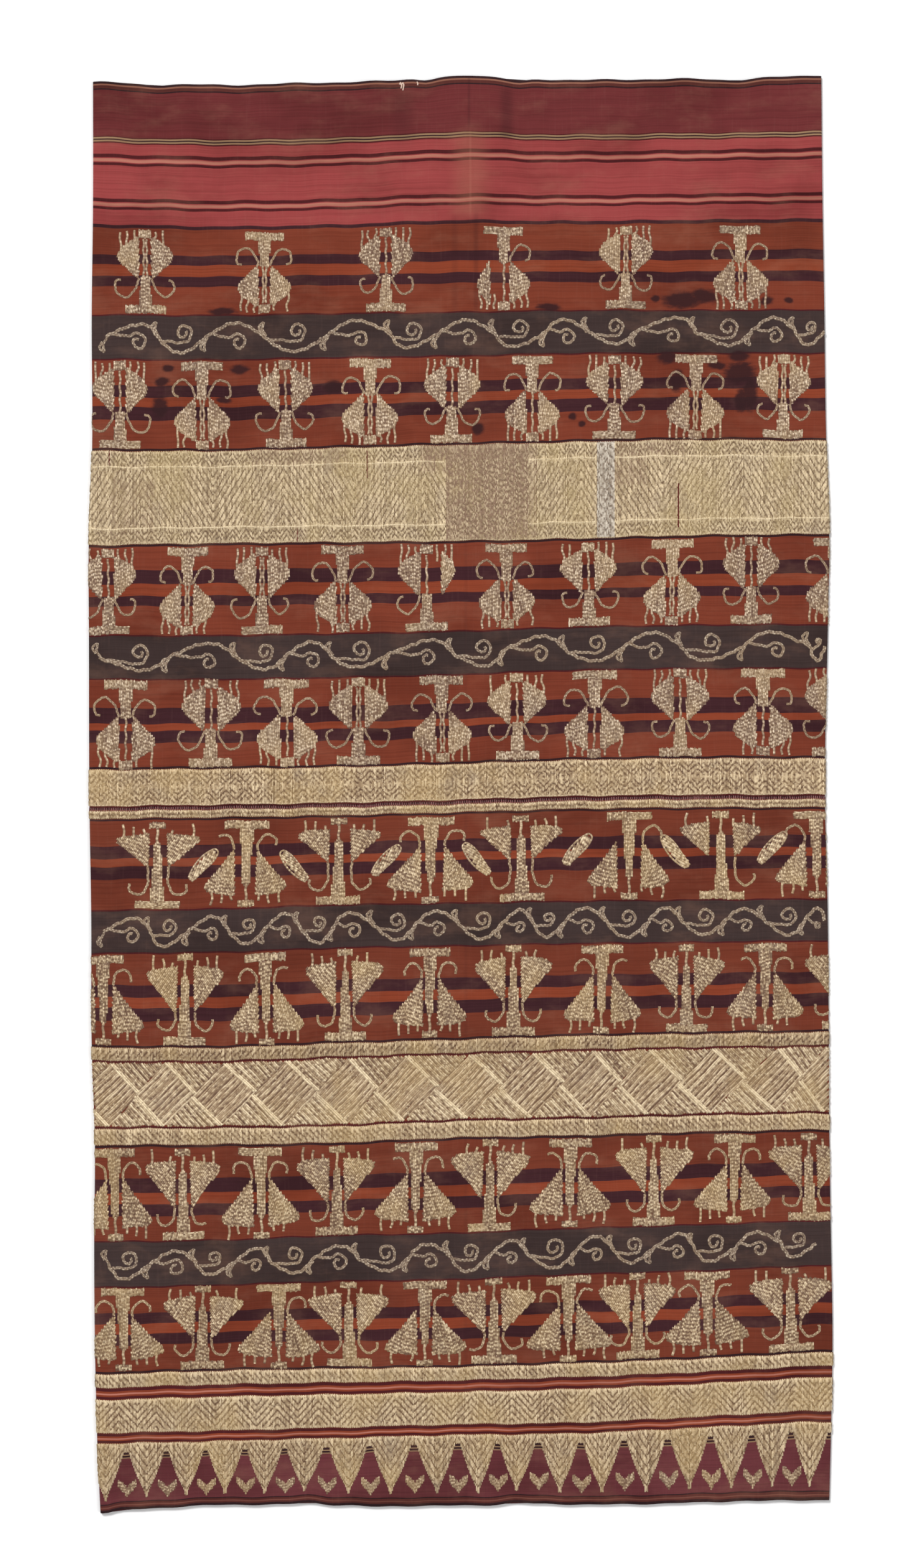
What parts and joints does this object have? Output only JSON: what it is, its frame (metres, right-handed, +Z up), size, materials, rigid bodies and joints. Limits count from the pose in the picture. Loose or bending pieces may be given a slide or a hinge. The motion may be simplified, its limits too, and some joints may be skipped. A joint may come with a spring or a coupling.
{
  "type": "folded tapis cloth",
  "caption": "Tube skirt of striped cotton with couched gold bands and a pointed border, folded flat and laid face up on a surface.",
  "frame": {"origin": "centre of the folded cloth's footprint, on the surface that it lies on", "axes": "+Y to the waist edge, +X to the right as the front is seen, +Z up through the front"},
  "size_m": [0.6386, 1.2306, 0.0055],
  "materials": {
    "striped_cotton": "matt handwoven cotton in maroon, rose, rust and purple stripes",
    "gold_thread": "worn gilt metal-wrapped thread, couched"
  },
  "bodies": {
    "root": {"upper_panel": "striped_cotton", "lower_panel": "striped_cotton"}
  },
  "joints": []
}
